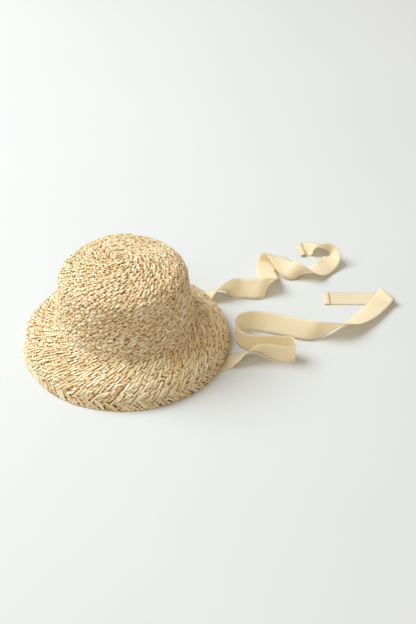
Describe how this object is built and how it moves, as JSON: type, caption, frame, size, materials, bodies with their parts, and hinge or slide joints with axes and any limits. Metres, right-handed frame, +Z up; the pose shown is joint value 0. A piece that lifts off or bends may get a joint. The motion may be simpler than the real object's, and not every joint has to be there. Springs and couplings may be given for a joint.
{
  "type": "sun hat",
  "caption": "Child's sun hat sewn in lapped rounds from one raffia plait: domed crown, drooping brim, inner sweatband and ribbon ties that trail from under the brim.",
  "frame": {"origin": "on the crown axis, in the plane of the brim edge on which the hat rests", "axes": "+Z up along the crown axis; the ties trail towards +X, the back tie towards +Y"},
  "size_m": [0.4579, 0.3287, 0.1264],
  "materials": {
    "raffia": "dry plaited raffia straw, slightly glossy strands",
    "ribbon": "soft cream woven ribbon",
    "band_cloth": "matt cotton band",
    "thread": "matt sewing thread"
  },
  "bodies": {
    "hat": {"tip_button": "raffia", "tip_round_1": "raffia", "tip_round_2": "raffia", "tip_round_3": "raffia", "tip_round_4": "raffia", "tip_round_5": "raffia", "shoulder_round_1": "raffia", "shoulder_round_2": "raffia", "side_round_1": "raffia", "side_round_2": "raffia", "side_round_3": "raffia", "side_round_4": "raffia", "join_round": "raffia", "brim_round_1": "raffia", "brim_round_2": "raffia", "brim_round_3": "raffia", "brim_round_4": "raffia", "edge_round": "raffia", "sweatband": "band_cloth", "sweatband_stitching": "thread", "back_tie_root": "ribbon", "front_tie_root": "ribbon", "back_tie_tack": "thread", "front_tie_tack": "thread"},
    "back_tie": {"back_tie": "ribbon", "back_tie_hem_stitches": "thread"},
    "front_tie": {"front_tie": "ribbon", "front_tie_hem_stitches": "thread"}
  },
  "joints": [
    {"name": "back_tie_swing", "type": "hinge", "parent": "hat", "child": "back_tie", "pos_m": [0.089, 0.089, 0], "axis": [0, 0, 1], "range_deg": [0, 25]},
    {"name": "front_tie_swing", "type": "hinge", "parent": "hat", "child": "front_tie", "pos_m": [0.12, -0.038, 0], "axis": [0, 0, 1], "range_deg": [-25, 0]}
  ]
}
